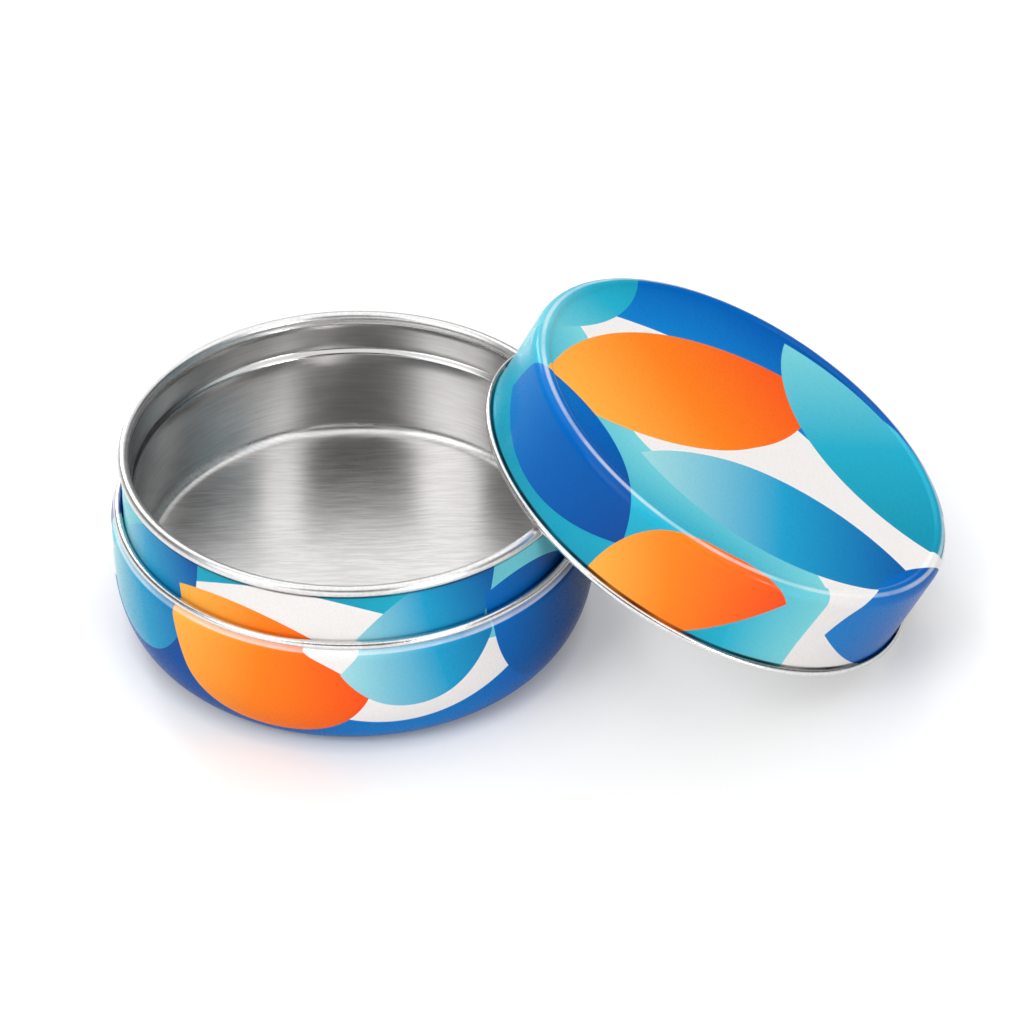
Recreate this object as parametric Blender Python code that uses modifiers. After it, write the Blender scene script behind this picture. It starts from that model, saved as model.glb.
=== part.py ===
# A round push-on tin of drawn tinplate, lid off and leaning on the base.
# The base has two walls: a printed outer bowl with a printed neck collar, and a bare inner cup
# whose rolled edge is the rim. The lid is one printed cap with a rolled lower edge.
# Every piece is a bent sheet, so each is drawn as the middle line of its sheet, turned about
# the tin's axis and given the sheet's thickness. Metres, +Z up, origin under the base's centre.

import math

import bpy

MM = 0.001

# Sheets and the small gaps between pieces
SHELL_SHEET = 0.3 * MM
COLLAR_SHEET = 0.3 * MM
CUP_SHEET = 0.3 * MM
LID_SHEET = 0.3 * MM
SEAT_GAP = 0.3 * MM

# Outer bowl
BODY_RADIUS = 50.0 * MM
HEEL_WIDTH = 8.2 * MM
HEEL_HEIGHT = 15.0 * MM
SHOULDER_LINE_HEIGHT = 28.8 * MM
SHOULDER_RISE = 2.2 * MM
SHOULDER_ROLL = 1.7 * MM
FOOT_RING_INSET = 6.65 * MM
FOOT_RING_WIDTH = 3.0 * MM
FOOT_RING_DEPTH = 0.5 * MM

# Neck collar
NECK_INSET = 2.6 * MM
FLANGE_WIDTH = 1.1 * MM
FLANGE_BEND = 0.3 * MM

# Inner cup
BASE_HEIGHT = 41.45 * MM
RIM_ROLL = 2.1 * MM
CUP_DEPTH = 29.4 * MM
CUP_TAPER = 0.4 * MM
STEP_BELOW_RIM = 8.6 * MM
STEP_HEIGHT = 1.4 * MM
STEP_WIDTH = 0.9 * MM
FLOOR_FILLET = 1.5 * MM

# Lid
LID_CLEARANCE = 0.3 * MM
LID_HEIGHT = 20.8 * MM
LID_ROLL = 1.5 * MM
LID_EDGE_RADIUS = 3.2 * MM
RIDGE_WIDTH = 1.2 * MM
PANEL_SLOPE_WIDTH = 1.6 * MM
PANEL_DROP = 0.5 * MM

# How the lid lies: tipped on the floor against the base's rim
LID_TILT = math.radians(27.85)
LEAN_GAP = 0.1 * MM
FLOOR_GAP = 0.3 * MM

# How far each rolled edge turns, and how finely round shapes are drawn
SHOULDER_ROLL_TURN = math.radians(300.0)
RIM_ROLL_TURN = math.radians(200.0)
LID_ROLL_TURN = math.radians(285.0)
TURN_STEPS = 64
ROLL_STEPS = 7
HEEL_STEPS = 5
SHOULDER_STEPS = 3
FILLET_STEPS = 3
EDGE_STEPS = 4
LEAN_SAMPLES = 720
LEAN_ROUNDS = 40
MERGE_DISTANCE = 0.001 * MM

QUARTER = math.pi / 2

# Places that follow from the sizes above
FOOT_RING_RADIUS = BODY_RADIUS - SHELL_SHEET / 2 - HEEL_WIDTH - FOOT_RING_INSET
NECK_RADIUS = BODY_RADIUS - NECK_INSET
RIM_OUTER = NECK_RADIUS + SEAT_GAP + CUP_SHEET
RIM_CENTRE_RADIUS = RIM_OUTER - RIM_ROLL / 2
RIM_CENTRE_HEIGHT = BASE_HEIGHT - RIM_ROLL / 2
SHOULDER_CENTRE_RADIUS = NECK_RADIUS + SEAT_GAP + SHOULDER_ROLL / 2
SHOULDER_CENTRE_HEIGHT = SHOULDER_LINE_HEIGHT - SHOULDER_ROLL / 2
SKIRT_RADIUS = RIM_OUTER + LID_CLEARANCE + LID_SHEET / 2
LID_CENTRE_RADIUS = SKIRT_RADIUS + (LID_ROLL - LID_SHEET) / 2


def arc(centre, radii, start, turn, steps):
    """Points on an ellipse arc, from the angle start through the angle turn."""
    points = []
    for index in range(steps + 1):
        angle = start + turn * index / steps
        points.append((centre[0] + radii[0] * math.cos(angle), centre[1] + radii[1] * math.sin(angle)))
    return points


def roll(centre, size, sheet, start, turn):
    """The middle line of a rolled edge of outer diameter size."""
    radius = (size - sheet) / 2
    return arc(centre, (radius, radius), start, turn, ROLL_STEPS)


def principled(name, colour, roughness, metallic):
    material = bpy.data.materials.new(name)
    material.use_nodes = True
    shader = material.node_tree.nodes["Principled BSDF"]
    shader.inputs["Base Color"].default_value = (*colour, 1.0)
    shader.inputs["Roughness"].default_value = roughness
    shader.inputs["Metallic"].default_value = metallic
    return material


def turned_sheet(collection, name, profile, sheet, material):
    """A sheet turned about the Z axis: profile is its middle line, as (radius, height) points."""
    mesh = bpy.data.meshes.new(name)
    points = [(radius, 0.0, height) for radius, height in profile]
    edges = [(index, index + 1) for index in range(len(points) - 1)]
    mesh.from_pydata(points, edges, [])
    mesh.materials.append(material)
    piece = bpy.data.objects.new(name, mesh)
    collection.objects.link(piece)

    screw = piece.modifiers.new("turn", "SCREW")
    screw.steps = TURN_STEPS
    screw.render_steps = TURN_STEPS
    screw.use_merge_vertices = True
    screw.merge_threshold = MERGE_DISTANCE
    screw.use_smooth_shade = True

    weld = piece.modifiers.new("close_centre", "WELD")
    weld.merge_threshold = MERGE_DISTANCE

    thickness = piece.modifiers.new("sheet", "SOLIDIFY")
    thickness.thickness = sheet
    thickness.offset = 0.0
    thickness.use_even_offset = True
    return piece


def body_shell_profile():
    """Outer bowl, from the middle of its flat bottom out, up and over into the shoulder roll."""
    low = SHELL_SHEET / 2
    wall = BODY_RADIUS - SHELL_SHEET / 2
    heel_centre = (wall - HEEL_WIDTH, low + HEEL_HEIGHT)
    roll_radius = (SHOULDER_ROLL - SHELL_SHEET) / 2
    roll_centre = (SHOULDER_CENTRE_RADIUS, SHOULDER_CENTRE_HEIGHT)
    shoulder_top = SHOULDER_CENTRE_HEIGHT - roll_radius
    shoulder_centre = (SHOULDER_CENTRE_RADIUS, shoulder_top - SHOULDER_RISE)
    shoulder_radii = (wall - SHOULDER_CENTRE_RADIUS, SHOULDER_RISE)

    profile = [(0.0, low)]
    profile.append((FOOT_RING_RADIUS - FOOT_RING_WIDTH / 2, low))
    profile.append((FOOT_RING_RADIUS - FOOT_RING_WIDTH / 4, low + FOOT_RING_DEPTH))
    profile.append((FOOT_RING_RADIUS + FOOT_RING_WIDTH / 4, low + FOOT_RING_DEPTH))
    profile.append((FOOT_RING_RADIUS + FOOT_RING_WIDTH / 2, low))
    profile += arc(heel_centre, (HEEL_WIDTH, HEEL_HEIGHT), -QUARTER, QUARTER, HEEL_STEPS)
    profile += arc(shoulder_centre, shoulder_radii, 0.0, QUARTER, SHOULDER_STEPS)
    rolled = roll(roll_centre, SHOULDER_ROLL, SHELL_SHEET, -QUARTER, -SHOULDER_ROLL_TURN)
    return profile + rolled[1:]


def neck_collar_profile():
    """Collar, from the edge of the flange trapped under the shoulder up into the rim roll."""
    wall = NECK_RADIUS - COLLAR_SHEET / 2
    flange = SHOULDER_CENTRE_HEIGHT - SHOULDER_ROLL / 2 - SEAT_GAP - COLLAR_SHEET / 2
    return [
        (wall + FLANGE_WIDTH, flange),
        (wall + FLANGE_BEND, flange),
        (wall, flange + FLANGE_BEND),
        (wall, RIM_CENTRE_HEIGHT),
    ]


def inner_cup_profile():
    """Inner cup, from the middle of its floor out, up past the step and over into the rim roll."""
    floor = BASE_HEIGHT - CUP_DEPTH - CUP_SHEET / 2
    upper_wall = RIM_CENTRE_RADIUS - (RIM_ROLL - CUP_SHEET) / 2
    lower_wall = upper_wall - STEP_WIDTH
    foot = lower_wall - CUP_TAPER
    step_top = BASE_HEIGHT - STEP_BELOW_RIM
    fillet_centre = (foot - FLOOR_FILLET, floor + FLOOR_FILLET)

    profile = [(0.0, floor)]
    profile += arc(fillet_centre, (FLOOR_FILLET, FLOOR_FILLET), -QUARTER, QUARTER, FILLET_STEPS)
    profile.append((lower_wall, step_top - STEP_HEIGHT))
    profile.append((upper_wall, step_top))
    rim_centre = (RIM_CENTRE_RADIUS, RIM_CENTRE_HEIGHT)
    return profile + roll(rim_centre, RIM_ROLL, CUP_SHEET, math.pi, -RIM_ROLL_TURN)


def lid_shell_profile():
    """Lid, from the middle of its panel out, over the edge and down into the rolled lower edge.
    Height zero is the middle of the roll."""
    top = LID_HEIGHT - LID_ROLL / 2 - LID_SHEET / 2
    edge_start = SKIRT_RADIUS - LID_EDGE_RADIUS
    ridge_start = edge_start - RIDGE_WIDTH
    edge_centre = (edge_start, top - LID_EDGE_RADIUS)

    profile = [(0.0, top - PANEL_DROP)]
    profile.append((ridge_start - PANEL_SLOPE_WIDTH, top - PANEL_DROP))
    profile.append((ridge_start, top))
    profile += arc(edge_centre, (LID_EDGE_RADIUS, LID_EDGE_RADIUS), QUARTER, -QUARTER, EDGE_STEPS)
    return profile + roll((LID_CENTRE_RADIUS, 0.0), LID_ROLL, LID_SHEET, math.pi, LID_ROLL_TURN)


def lid_height():
    """Height of the middle of the tilted lid's roll when the roll just clears the floor."""
    return FLOOR_GAP + LID_ROLL / 2 + LID_CENTRE_RADIUS * math.sin(LID_TILT)


def rim_distance(lean):
    """Least distance between the middle circles of the lid's roll and of the rim's roll."""
    nearest = math.inf
    for index in range(LEAN_SAMPLES):
        angle = math.pi * index / LEAN_SAMPLES
        along = LID_CENTRE_RADIUS * math.cos(angle)
        x = lean + along * math.cos(LID_TILT)
        y = LID_CENTRE_RADIUS * math.sin(angle)
        z = lid_height() - along * math.sin(LID_TILT)
        distance = math.hypot(math.hypot(x, y) - RIM_CENTRE_RADIUS, z - RIM_CENTRE_HEIGHT)
        nearest = min(nearest, distance)
    return nearest


def lean_distance():
    """How far the lid's centre stands from the base's axis when its roll rests on the rim."""
    touching = (RIM_ROLL + LID_ROLL) / 2 + LEAN_GAP
    near = RIM_CENTRE_RADIUS
    far = RIM_CENTRE_RADIUS + LID_CENTRE_RADIUS
    step = (far - near) / LEAN_ROUNDS
    lean = far
    while lean > near and rim_distance(lean) > touching:
        lean -= step
    near, far = lean, lean + step
    for _ in range(LEAN_ROUNDS):
        middle = (near + far) / 2
        if rim_distance(middle) > touching:
            far = middle
        else:
            near = middle
    return far


for old in list(bpy.data.objects):
    bpy.data.objects.remove(old, do_unlink=True)

parts = bpy.data.collections.new("push_on_tin")
bpy.context.scene.collection.children.link(parts)

printed_blue = principled("printed_blue", (0.02, 0.22, 0.55), 0.35, 0.0)
printed_teal = principled("printed_teal", (0.05, 0.38, 0.45), 0.35, 0.0)
printed_orange = principled("printed_orange", (0.95, 0.25, 0.04), 0.35, 0.0)
bare_tinplate = principled("bare_tinplate", (0.72, 0.72, 0.72), 0.3, 1.0)

turned_sheet(parts, "body_shell", body_shell_profile(), SHELL_SHEET, printed_blue)
turned_sheet(parts, "neck_collar", neck_collar_profile(), COLLAR_SHEET, printed_teal)
turned_sheet(parts, "inner_cup", inner_cup_profile(), CUP_SHEET, bare_tinplate)

lid = turned_sheet(parts, "lid_shell", lid_shell_profile(), LID_SHEET, printed_orange)
lid.location = (lean_distance(), 0.0, lid_height())
lid.rotation_euler = (0.0, LID_TILT, 0.0)
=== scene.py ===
# %% [markdown]
# # A push-on tin with its lid off
# This lesson dresses a round tin of drawn tinplate. The tin has a printed outer bowl, a printed
# neck, a bare inner cup whose rolled edge is the rim, and a printed lid that leans on that rim.
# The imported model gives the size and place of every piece. Here each piece is turned again, much
# finer, and gets its ink, its bare metal and its light.

# %% Load the fixed model
import math

import bpy
from mathutils import Matrix, Vector


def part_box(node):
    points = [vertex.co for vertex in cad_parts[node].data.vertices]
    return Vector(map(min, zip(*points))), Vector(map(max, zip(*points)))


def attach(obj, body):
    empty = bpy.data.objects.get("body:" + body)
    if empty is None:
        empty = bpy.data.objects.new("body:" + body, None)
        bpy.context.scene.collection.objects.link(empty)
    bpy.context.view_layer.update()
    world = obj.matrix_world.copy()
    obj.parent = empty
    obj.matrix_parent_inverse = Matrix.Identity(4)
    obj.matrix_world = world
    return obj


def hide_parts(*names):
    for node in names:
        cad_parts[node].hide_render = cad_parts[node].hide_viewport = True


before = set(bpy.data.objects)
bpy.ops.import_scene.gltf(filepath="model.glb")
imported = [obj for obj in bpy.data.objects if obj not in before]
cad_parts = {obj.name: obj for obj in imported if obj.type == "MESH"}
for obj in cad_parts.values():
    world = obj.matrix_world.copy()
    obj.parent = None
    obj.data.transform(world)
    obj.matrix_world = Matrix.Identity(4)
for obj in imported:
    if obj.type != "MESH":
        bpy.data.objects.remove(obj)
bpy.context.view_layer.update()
MM = 0.001

# %% [markdown]
# ## Camera
# The photograph was taken with a long lens from a little above. Its place was worked out from the
# ellipses of the rim, the cup's floor and the shoulder, which all have one known radius each. A
# long lens far away keeps the ellipses nearly parallel, as in the photograph.

# %% Camera
LENS = 161.76
CAMERA_PLACE = (-0.0041, -0.7535, 0.6063)
CAMERA_TILT = 52.27
CAMERA_TURN = -2.80

camera_data = bpy.data.cameras.new("camera")
camera_data.sensor_width = 36.0
camera_data.lens = LENS
camera_data.clip_start = 0.05
camera_data.clip_end = 100.0
camera = bpy.data.objects.new("camera", camera_data)
camera.location = CAMERA_PLACE
camera.rotation_euler = (math.radians(CAMERA_TILT), 0.0, math.radians(CAMERA_TURN))
bpy.context.scene.collection.objects.link(camera)
bpy.context.scene.camera = camera
bpy.context.scene.view_settings.view_transform = "Standard"
print("camera", tuple(camera.location), "lens", camera_data.lens)


# %% [markdown]
# ## A short way to wire nodes
# Every material and tree below is built from nodes. One helper makes a node, sets its options and
# fills its inputs: a plain value is written into the socket, and another node's output is linked.
# The other helpers name the few nodes that come up again and again.

# %% Node helpers
def put(tree, kind, inputs=None, **options):
    """Add a node: options are its settings, inputs maps socket names or numbers to their fill."""
    made = tree.nodes.new(kind)
    for name, value in options.items():
        setattr(made, name, value)
    for name, value in (inputs or {}).items():
        if isinstance(value, bpy.types.NodeSocket):
            tree.links.new(value, made.inputs[name])
        else:
            made.inputs[name].default_value = value
    return made


def maths(tree, operation, *values):
    inputs = dict(enumerate(values))
    return put(tree, "ShaderNodeMath", inputs, operation=operation).outputs[0]


def vector_maths(tree, operation, *values):
    node = put(tree, "ShaderNodeVectorMath", dict(enumerate(values)), operation=operation)
    number_out = operation in {"DOT_PRODUCT", "LENGTH", "DISTANCE"}
    return node.outputs["Value" if number_out else "Vector"]


def scaled(tree, vector, factor):
    inputs = {0: vector, "Scale": factor}
    return put(tree, "ShaderNodeVectorMath", inputs, operation="SCALE").outputs[0]


def ramp(tree, value, low, high, to_low=0.0, to_high=1.0, smooth=True):
    """Value from low..high, clamped and carried to to_low..to_high."""
    inputs = {
        "Value": value, "From Min": low, "From Max": high, "To Min": to_low, "To Max": to_high,
    }
    shape = "SMOOTHSTEP" if smooth else "LINEAR"
    return put(tree, "ShaderNodeMapRange", inputs, interpolation_type=shape).outputs[0]


def noise(tree, point, scale, detail, roughness=0.5):
    inputs = {"Vector": point, "Scale": scale, "Detail": detail, "Roughness": roughness}
    return put(tree, "ShaderNodeTexNoise", inputs).outputs[0]


def blend_values(tree, factor, below, above):
    inputs = {0: factor, 2: below, 3: above}
    return put(tree, "ShaderNodeMix", inputs, data_type="FLOAT").outputs[0]


def blend_colours(tree, factor, below, above):
    inputs = {0: factor, 6: below, 7: above}
    return put(tree, "ShaderNodeMix", inputs, data_type="RGBA").outputs[2]


def new_group(name, inputs, outputs):
    """A shader node group with named sockets: returns its tree, its inputs and its outputs."""
    tree = bpy.data.node_groups.new(name, "ShaderNodeTree")
    for label, kind in inputs:
        tree.interface.new_socket(label, in_out="INPUT", socket_type="NodeSocket" + kind)
    for label, kind in outputs:
        tree.interface.new_socket(label, in_out="OUTPUT", socket_type="NodeSocket" + kind)
    inside = tree.nodes.new("NodeGroupInput").outputs
    outside = tree.nodes.new("NodeGroupOutput").inputs
    return tree, inside, outside


def use_group(tree, group, inputs):
    return put(tree, "ShaderNodeGroup", inputs, node_tree=group).outputs


def new_material(name):
    """An empty material: returns it and its node tree."""
    material = bpy.data.materials.new(name)
    material.use_nodes = True
    material.node_tree.nodes.clear()
    return material, material.node_tree


# %% [markdown]
# ## The studio
# The tin stands on a white sheet in soft light. Most of the light comes from the world: a dim
# surround with a few bright windows, as softboxes stand round a product table, and two dark cards
# that take light away. Their places decide what the bare metal shows. The back of the cup is dark
# where it mirrors the card round the camera, and light on both sides of it, where it mirrors the
# two front boxes. The floor of the cup mirrors the big window at the back.

# %% Softbox group for the world
window, inside, outside = new_group(
    "studio window",
    [("Direction", "Vector"), ("Forward", "Vector"), ("Right", "Vector"), ("Up", "Vector"),
     ("Half Width", "Float"), ("Half Height", "Float"), ("Soft Edge", "Float"),
     ("Strength", "Float")],
    [("Light", "Float")],
)
ahead = vector_maths(window, "DOT_PRODUCT", inside["Direction"], inside["Forward"])
ahead_safe = maths(window, "MAXIMUM", ahead, 0.001)
mask = maths(window, "GREATER_THAN", ahead, 0.0)
for side, size in (("Right", "Half Width"), ("Up", "Half Height")):
    along = vector_maths(window, "DOT_PRODUCT", inside["Direction"], inside[side])
    offset = maths(window, "ABSOLUTE", maths(window, "DIVIDE", along, ahead_safe))
    edge = maths(window, "ADD", inside[size], inside["Soft Edge"])
    mask = maths(window, "MULTIPLY", mask, ramp(window, offset, inside[size], edge, 1.0, 0.0))
window.links.new(maths(window, "MULTIPLY", mask, inside["Strength"]), outside["Light"])


# %% World: a dim surround with bright windows and dark cards
def towards(azimuth, elevation):
    """Unit vector from the tin towards a place in the studio, given in degrees."""
    turn = math.radians(azimuth)
    rise = math.radians(elevation)
    return Vector((
        math.cos(turn) * math.cos(rise), math.sin(turn) * math.cos(rise), math.sin(rise),
    ))


SURROUND = 0.11
HORIZON = 0.50
HORIZON_EDGES = (0.10, 0.34)
LEAST_LIGHT = 0.02
WINDOWS = [
    # name, azimuth, elevation, half width, half height, soft edge (degrees), strength
    ("overhead", -80.0, 80.0, 36.0, 19.0, 8.0, 1.15),
    ("front_left", -146.0, 38.0, 12.0, 14.0, 7.0, 2.3),
    ("front_right", -50.0, 38.0, 6.5, 14.0, 6.0, 2.2),
    ("low_front", -118.0, 12.0, 28.0, 8.0, 8.0, 0.9),
    ("right_strip", -57.0, 13.0, 4.0, 5.0, 2.0, 20.0),
    ("back", 92.0, 54.0, 36.0, 21.0, 7.0, 1.17),
    ("left_strip", 112.0, 27.0, 4.0, 10.0, 2.0, 14.0),
    ("camera_card", -92.0, 38.0, 13.0, 12.0, 7.0, -0.6),
    ("right_card", 42.0, 26.0, 36.0, 9.0, 9.0, -0.9),
]

world = bpy.data.worlds.new("studio")
world.use_nodes = True
bpy.context.scene.world = world
air = world.node_tree
air.nodes.clear()
direction = put(air, "ShaderNodeTexCoord").outputs["Generated"]
height = put(air, "ShaderNodeSeparateXYZ", {0: direction}).outputs["Z"]
horizon = ramp(air, maths(air, "ABSOLUTE", height), *HORIZON_EDGES, HORIZON, 0.0)
light = maths(air, "ADD", horizon, SURROUND)
for name, azimuth, elevation, half_width, half_height, soft, strength in WINDOWS:
    forward = towards(azimuth, elevation)
    right = forward.cross(Vector((0.0, 0.0, 1.0))).normalized()
    sockets = {
        "Direction": direction, "Forward": forward, "Right": right, "Up": right.cross(forward),
        "Half Width": math.tan(math.radians(half_width)),
        "Half Height": math.tan(math.radians(half_height)),
        "Soft Edge": math.tan(math.radians(soft)), "Strength": strength,
    }
    light = maths(air, "ADD", light, use_group(air, window, sockets)["Light"])
light = maths(air, "MAXIMUM", light, LEAST_LIGHT)
white_light = {"Color": (1.0, 1.0, 1.0, 1.0), "Strength": light}
background = put(air, "ShaderNodeBackground", white_light)
put(air, "ShaderNodeOutputWorld", {"Surface": background.outputs[0]})
print("windows and cards:", [entry[0] for entry in WINDOWS])

# %% [markdown]
# ## Key lamp
# The windows light the ink and the sheet from all sides alike. One soft lamp at the front left
# gives that light a direction, so the shade falls to the right, as in the photograph. It could be
# one more window, but then the metal would mirror it, so it is a lamp that mirrors don't see.

# %% Key lamp
KEY_AZIMUTH = -138.0
KEY_ELEVATION = 45.0
KEY_DISTANCE = 1.5
KEY_WIDTH = 0.6
KEY_WATTS = 4.8

key_data = bpy.data.lights.new("key_lamp", "AREA")
key_data.shape = "DISK"
key_data.size = KEY_WIDTH
key_data.energy = KEY_WATTS
key_lamp = bpy.data.objects.new("key_lamp", key_data)
to_key = towards(KEY_AZIMUTH, KEY_ELEVATION)
key_lamp.location = to_key * KEY_DISTANCE
key_lamp.rotation_euler = (-to_key).to_track_quat("-Z", "Y").to_euler()
key_lamp.visible_glossy = False
bpy.context.scene.collection.objects.link(key_lamp)
print("key lamp at", tuple(key_lamp.location))

# %% [markdown]
# ## Floor
# The white sheet is one big square. For the eye and for mirrors it is lifted a little by a light
# of its own, which keeps it white without more light on the tin. Ambient Occlusion takes that lift
# away where something stands close: widely round the tin, and again in a thin line at its foot.

# %% Floor
FLOOR_SIZE = 12.0
FLOOR_WHITE = (0.62, 0.62, 0.62, 1.0)
FLOOR_ROUGHNESS = 0.22
FLOOR_GLOSS = 0.25
FLOOR_LIFT = 0.385
SHADES = ((0.02, 0.52), (0.004, 0.6))

floor_mesh = bpy.data.meshes.new("floor")
corners = [(x * FLOOR_SIZE, y * FLOOR_SIZE, 0.0) for x, y in ((-1, -1), (1, -1), (1, 1), (-1, 1))]
floor_mesh.from_pydata(corners, [], [(0, 1, 2, 3)])
floor = bpy.data.objects.new("floor", floor_mesh)
bpy.context.scene.collection.objects.link(floor)

paper, nodes = new_material("floor_paper")
matt = put(nodes, "ShaderNodeBsdfPrincipled", {
    "Base Color": FLOOR_WHITE, "Roughness": FLOOR_ROUGHNESS, "Specular IOR Level": FLOOR_GLOSS,
})
rays = put(nodes, "ShaderNodeLightPath").outputs
seen = maths(nodes, "ADD", rays["Is Camera Ray"], rays["Is Glossy Ray"])
seen = maths(nodes, "ADD", seen, rays["Is Transmission Ray"])
lift = maths(nodes, "MULTIPLY", seen, FLOOR_LIFT)
for reach, depth in SHADES:
    occlusion = put(nodes, "ShaderNodeAmbientOcclusion", {"Distance": reach}, samples=8)
    open_share = ramp(nodes, occlusion.outputs["AO"], 0.0, 1.0, 1.0 - depth, 1.0, smooth=False)
    lift = maths(nodes, "MULTIPLY", lift, open_share)
lift_light = put(nodes, "ShaderNodeEmission", {"Strength": lift})
both = put(nodes, "ShaderNodeAddShader", {0: matt.outputs[0], 1: lift_light.outputs[0]})
put(nodes, "ShaderNodeOutputMaterial", {"Surface": both.outputs[0]})
floor_mesh.materials.append(paper)
print("floor side:", 2 * FLOOR_SIZE, "m")

# %% [markdown]
# ## Bare tinplate
# Tinplate is steel with a thin bright tin coat. It was rolled, so it carries fine straight lines,
# and it scatters light along them. Stretched noise gives those lines: it varies fast across them
# and slowly along them. On the cup's floor they run straight, and on its wall they run round it,
# as drawing leaves them. The lines move the colour, the roughness and a very shallow bump. The rim
# is rubbed paler and carries fine specks instead.

# %% Rolling lines
WALL_BEGINS = (0.6 * MM, 2.8 * MM)
RIM_BLEND = 0.4 * MM
BEND_SCALE = 45.0
BEND_DEPTH = 4.0 * MM
FLOOR_LINE_SCALE = (150.0, 1700.0, 1700.0)
WALL_LINE_SCALE = (120.0, 120.0, 1500.0)
WALL_LINE_RANGE = (0.25, 0.75)
CLOUD_SCALE = 60.0
RIM_SPECK_SCALE = 1400.0
RIM_SPECK_RANGE = (0.28, 0.72)

lines, inside, outside = new_group(
    "rolling lines",
    [("Point", "Vector"), ("Floor Level", "Float"), ("Rim Level", "Float")],
    [("Lines", "Float"), ("Clouds", "Float"), ("Wall", "Float"), ("Rim", "Float")],
)
level = put(lines, "ShaderNodeSeparateXYZ", {0: inside["Point"]}).outputs["Z"]
on_wall = ramp(lines, maths(lines, "SUBTRACT", level, inside["Floor Level"]), *WALL_BEGINS)
bend = maths(lines, "MULTIPLY", noise(lines, inside["Point"], BEND_SCALE, 1.0), BEND_DEPTH)
bent = put(lines, "ShaderNodeCombineXYZ", {1: bend}).outputs[0]
wavy_point = vector_maths(lines, "ADD", inside["Point"], bent)
along_floor = vector_maths(lines, "MULTIPLY", wavy_point, FLOOR_LINE_SCALE)
along_wall = vector_maths(lines, "MULTIPLY", inside["Point"], WALL_LINE_SCALE)
floor_lines = noise(lines, along_floor, 1.0, 3.0, 0.6)
turned_lines = noise(lines, along_wall, 1.0, 2.0, 0.6)
wall_lines = ramp(lines, turned_lines, 0.0, 1.0, *WALL_LINE_RANGE, smooth=False)
either = blend_values(lines, on_wall, floor_lines, wall_lines)
specks = noise(lines, inside["Point"], RIM_SPECK_SCALE, 2.0)
faint_specks = ramp(lines, specks, 0.0, 1.0, *RIM_SPECK_RANGE, smooth=False)
rim_height = maths(lines, "SUBTRACT", level, inside["Rim Level"])
at_rim = ramp(lines, rim_height, -RIM_BLEND, 0.0)
lines.links.new(blend_values(lines, at_rim, either, faint_specks), outside["Lines"])
lines.links.new(noise(lines, inside["Point"], CLOUD_SCALE, 3.0), outside["Clouds"])
lines.links.new(on_wall, outside["Wall"])
lines.links.new(at_rim, outside["Rim"])


# %% Bare metal
CLOUD_TINTS = ((0.645, 0.638, 0.632, 1.0), (0.70, 0.693, 0.687, 1.0))
# Painted shade: the wall gets darker metal than the floor, so the cup's inside reads as shaded.
WALL_SHADE_TINT = (0.50, 0.49, 0.483, 1.0)
WALL_SHADE_SHARE = 0.6
RIM_TINT = (0.74, 0.735, 0.73, 1.0)
BRUSH_RANGE = (0.38, 0.62)
BRUSH_CONTRAST = 0.10
SCATTER_RANGE = (0.2, 0.8)
ROUGHNESS_SWING = 0.05
WALL_SMOOTHER = -0.11
RIM_ROUGHER = 0.09


def bare_tinplate(name, roughness, line_depth, floor_level, rim_level):
    """Bare metal: what lies above floor_level is wall, and what lies above rim_level is rim."""
    material, tree = new_material(name)
    point = put(tree, "ShaderNodeTexCoord").outputs["Object"]
    levels = {"Point": point, "Floor Level": floor_level, "Rim Level": rim_level}
    marks = use_group(tree, lines, levels)
    tint = blend_colours(tree, marks["Clouds"], *CLOUD_TINTS)
    wall_shade = maths(tree, "MULTIPLY", marks["Wall"], WALL_SHADE_SHARE)
    tint = blend_colours(tree, wall_shade, tint, WALL_SHADE_TINT)
    tint = blend_colours(tree, marks["Rim"], tint, RIM_TINT)
    darker, lighter = 1.0 - BRUSH_CONTRAST, 1.0 + BRUSH_CONTRAST
    brushed = ramp(tree, marks["Lines"], *BRUSH_RANGE, darker, lighter, smooth=False)
    least, most = roughness - ROUGHNESS_SWING, roughness + ROUGHNESS_SWING
    rough = ramp(tree, marks["Lines"], *SCATTER_RANGE, least, most, smooth=False)
    rough = maths(tree, "MULTIPLY_ADD", marks["Wall"], WALL_SMOOTHER, rough)
    rough = maths(tree, "MULTIPLY_ADD", marks["Rim"], RIM_ROUGHER, rough)
    bump = put(tree, "ShaderNodeBump", {"Height": marks["Lines"], "Distance": line_depth})
    metal = put(tree, "ShaderNodeBsdfPrincipled", {
        "Base Color": scaled(tree, tint, brushed), "Metallic": 1.0, "Roughness": rough,
        "Normal": bump.outputs[0],
    })
    put(tree, "ShaderNodeOutputMaterial", {"Surface": metal.outputs[0]})
    return material


# %% The metal of the cup and of the rolled edges, which count as rim all over
SHEET = 0.3
RIM_DEPTH = 2.0
CUP_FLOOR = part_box("inner_cup")[0].z + SHEET * MM
RIM_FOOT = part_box("inner_cup")[1].z - RIM_DEPTH * MM
CUP_ROUGHNESS = 0.33
CUP_LINE_DEPTH = 0.0016 * MM
EDGE_ROUGHNESS = 0.26
EDGE_LINE_DEPTH = 0.001 * MM
BELOW_ALL = -1.0

cup_metal = bare_tinplate(
    "bare_tinplate_cup", CUP_ROUGHNESS, CUP_LINE_DEPTH, CUP_FLOOR, RIM_FOOT,
)
edge_metal = bare_tinplate(
    "bare_tinplate_edges", EDGE_ROUGHNESS, EDGE_LINE_DEPTH, BELOW_ALL, BELOW_ALL,
)
print("cup floor at", CUP_FLOOR, "rim from", RIM_FOOT)

# %% [markdown]
# ## The print
# Tins are printed flat and drawn into shape afterwards, so the design belongs to the flat blank.
# The group below carries a point of the finished wall back to the flat sheet: it slides outwards
# by as much as the wall has risen from the flat part. The shapes are then drawn once, in
# millimetres on the blank, and run over the rounded edges by themselves.

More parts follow.
